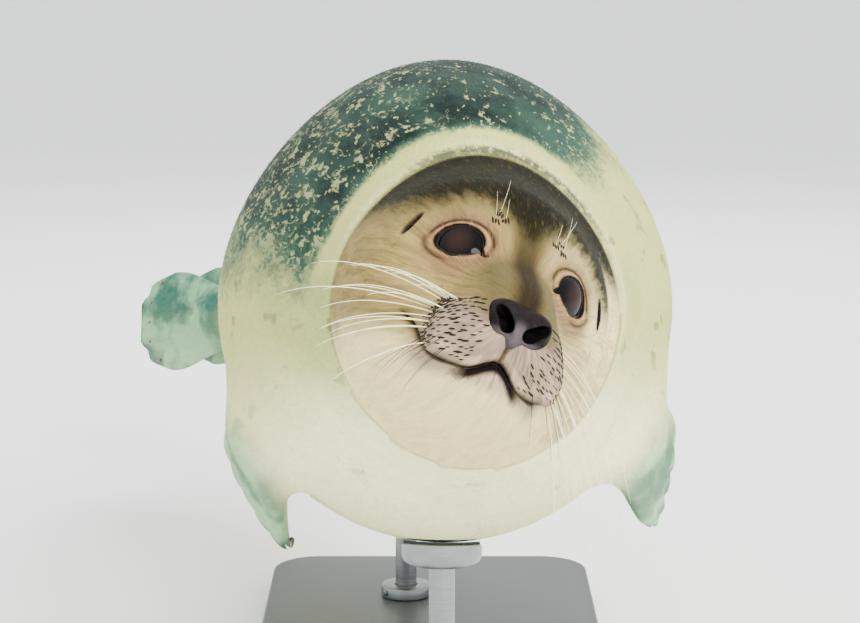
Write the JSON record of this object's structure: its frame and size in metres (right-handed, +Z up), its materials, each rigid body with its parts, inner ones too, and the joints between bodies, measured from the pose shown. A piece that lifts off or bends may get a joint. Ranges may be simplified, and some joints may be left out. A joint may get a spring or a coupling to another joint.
{
  "type": "harbour seal animal model",
  "caption": "Life-size harbour seal with a spotted coat in a swimming pose, head turned to the viewer, held over a flat base by two short rods.",
  "frame": {"origin": "centre of the stand base's underside, on the floor", "axes": "+Z up, +Y from the seal's nose towards its tail, +X to the seal's left"},
  "size_m": [0.5735, 1.5771, 0.6151],
  "materials": {
    "coat_body": "short flat cream fur with a slate mantle and pale spots",
    "coat_face": "very short flat fur, beige with an olive crown",
    "coat_flipper": "very short grey-green fur over skin, dark horny claws",
    "eye_dark": "wet dark brown",
    "nose_leather": "bare grained skin, slightly moist",
    "rod_steel": "satin",
    "base_paint": "satin dark grey paint"
  },
  "bodies": {
    "root": {"head": "coat_face", "muzzle": "coat_face", "lower_jaw": "coat_face", "neck": "coat_body", "chest": "coat_body", "belly": "coat_body", "hips": "coat_body", "rump": "coat_body", "tail": "coat_body", "flipper_fore_right": "coat_flipper", "flipper_fore_left": "coat_flipper", "flipper_hind_right": "coat_flipper", "flipper_hind_left": "coat_flipper", "eye_left": "eye_dark", "eye_right": "eye_dark", "nose": "nose_leather", "stand_base": "base_paint", "stand_rod_front": "rod_steel", "stand_rod_rear": "rod_steel", "stand_collar_front": "rod_steel", "stand_collar_rear": "rod_steel", "stand_cup_front": "rod_steel", "stand_cup_rear": "rod_steel"}
  },
  "joints": []
}
